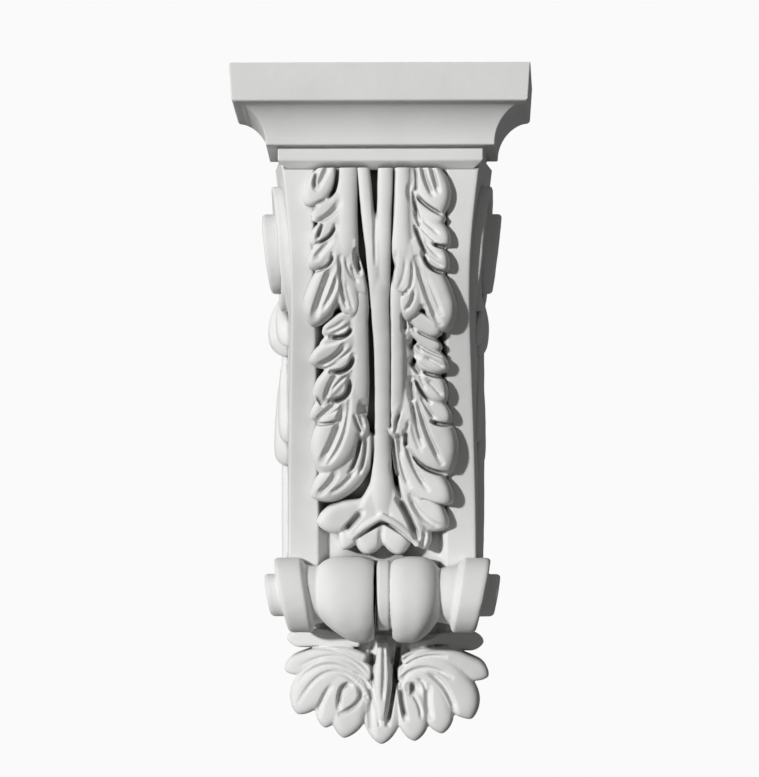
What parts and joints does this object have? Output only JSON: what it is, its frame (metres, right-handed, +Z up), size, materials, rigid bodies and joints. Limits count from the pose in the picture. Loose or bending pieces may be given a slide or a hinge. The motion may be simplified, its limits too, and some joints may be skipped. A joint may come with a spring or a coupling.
{
  "type": "acanthus corbel",
  "caption": "Wall corbel cast in plaster: moulded top over a scrolled bracket carved with acanthus half leaves, a turned bolster and a pendant palmette; carries a shelf or beam end",
  "frame": {"origin": "on the flat back, on the centre line and at half the height, where the corbel meets the wall", "axes": "+Z up, -Y the carved front, +Y into the wall, X across the face"},
  "size_m": [0.2084, 0.15, 0.4568],
  "materials": {
    "plaster": "matt, bare white cast plaster"
  },
  "bodies": {
    "root": {"corbel": "plaster"}
  },
  "joints": []
}
